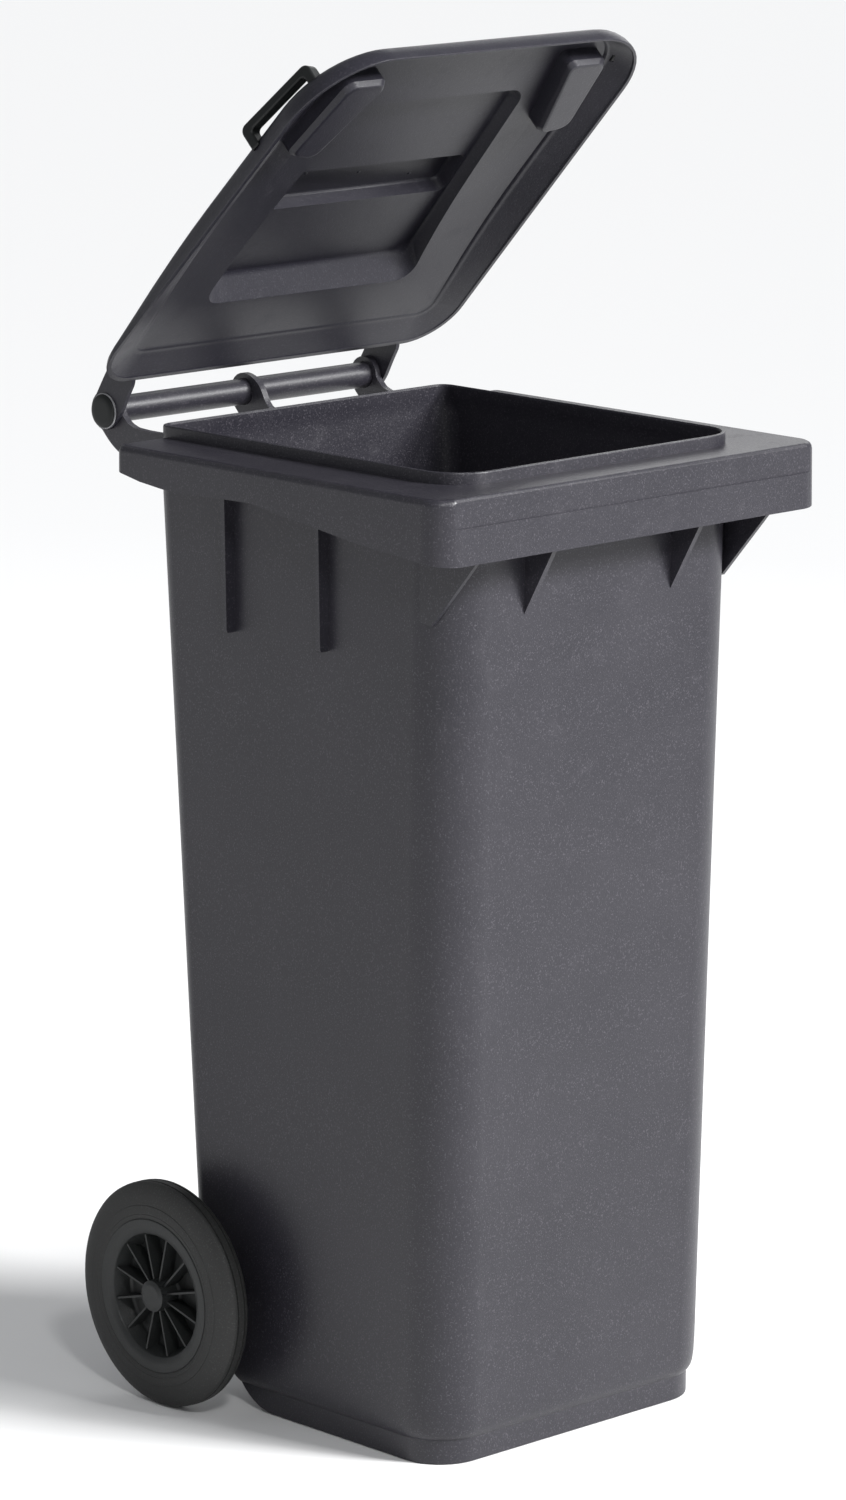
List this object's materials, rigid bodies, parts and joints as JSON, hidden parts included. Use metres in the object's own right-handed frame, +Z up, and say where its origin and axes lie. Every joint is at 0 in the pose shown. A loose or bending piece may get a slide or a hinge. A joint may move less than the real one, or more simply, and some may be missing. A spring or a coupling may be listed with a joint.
{
  "type": "wheeled refuse bin",
  "caption": "Small two-wheeled refuse bin in dark grey plastic with a tapered tub, a hinged dished lid on a rear handle bar, black grips and black rubber-tyred wheels.",
  "frame": {"origin": "on the floor, at the middle of the flat part of the base", "axes": "+Z up; -Y is the front, where the lid opens; the hinge, handle bar and wheels are at +Y; X runs across the bin"},
  "size_m": [0.45, 0.5095, 1.1871],
  "materials": {
    "tub_plastic": "fine-grained anthracite moulded polyethylene",
    "lid_plastic": "fine-grained anthracite moulded polyethylene, slightly glossier",
    "black_plastic": "smooth black moulded plastic",
    "bush_plastic": "plain grey bearing plastic",
    "wheel_plastic": "black moulded plastic",
    "tyre_rubber": "solid black rubber",
    "axle_steel": "bright zinc-plated steel"
  },
  "bodies": {
    "tub": {"body": "tub_plastic", "handle_bar": "tub_plastic", "hinge_pin_left": "black_plastic", "hinge_pin_right": "black_plastic", "axle": "axle_steel", "axle_spacer_left": "bush_plastic", "axle_spacer_right": "bush_plastic", "wheel_clip_left": "axle_steel", "wheel_clip_right": "axle_steel"},
    "lid": {"lid": "lid_plastic", "lid_grip_left": "black_plastic", "lid_grip_right": "black_plastic", "hinge_bush_left": "bush_plastic", "hinge_bush_right": "bush_plastic"},
    "wheel_left": {"wheel_rim_left": "wheel_plastic", "tyre_left": "tyre_rubber", "wheel_bush_left": "bush_plastic"},
    "wheel_right": {"wheel_rim_right": "wheel_plastic", "tyre_right": "tyre_rubber", "wheel_bush_right": "bush_plastic"}
  },
  "joints": [
    {"name": "lid_hinge", "type": "hinge", "parent": "tub", "child": "lid", "pos_m": [0, 0.322, 0.855], "axis": [-1, 0, 0], "range_deg": [-45.5, 222]},
    {"name": "wheel_left_spin", "type": "hinge", "parent": "tub", "child": "wheel_left", "pos_m": [-0.206, 0.1965, 0.1], "axis": [1, 0, 0], "continuous": true},
    {"name": "wheel_right_spin", "type": "hinge", "parent": "tub", "child": "wheel_right", "pos_m": [0.206, 0.1965, 0.1], "axis": [1, 0, 0], "continuous": true}
  ]
}
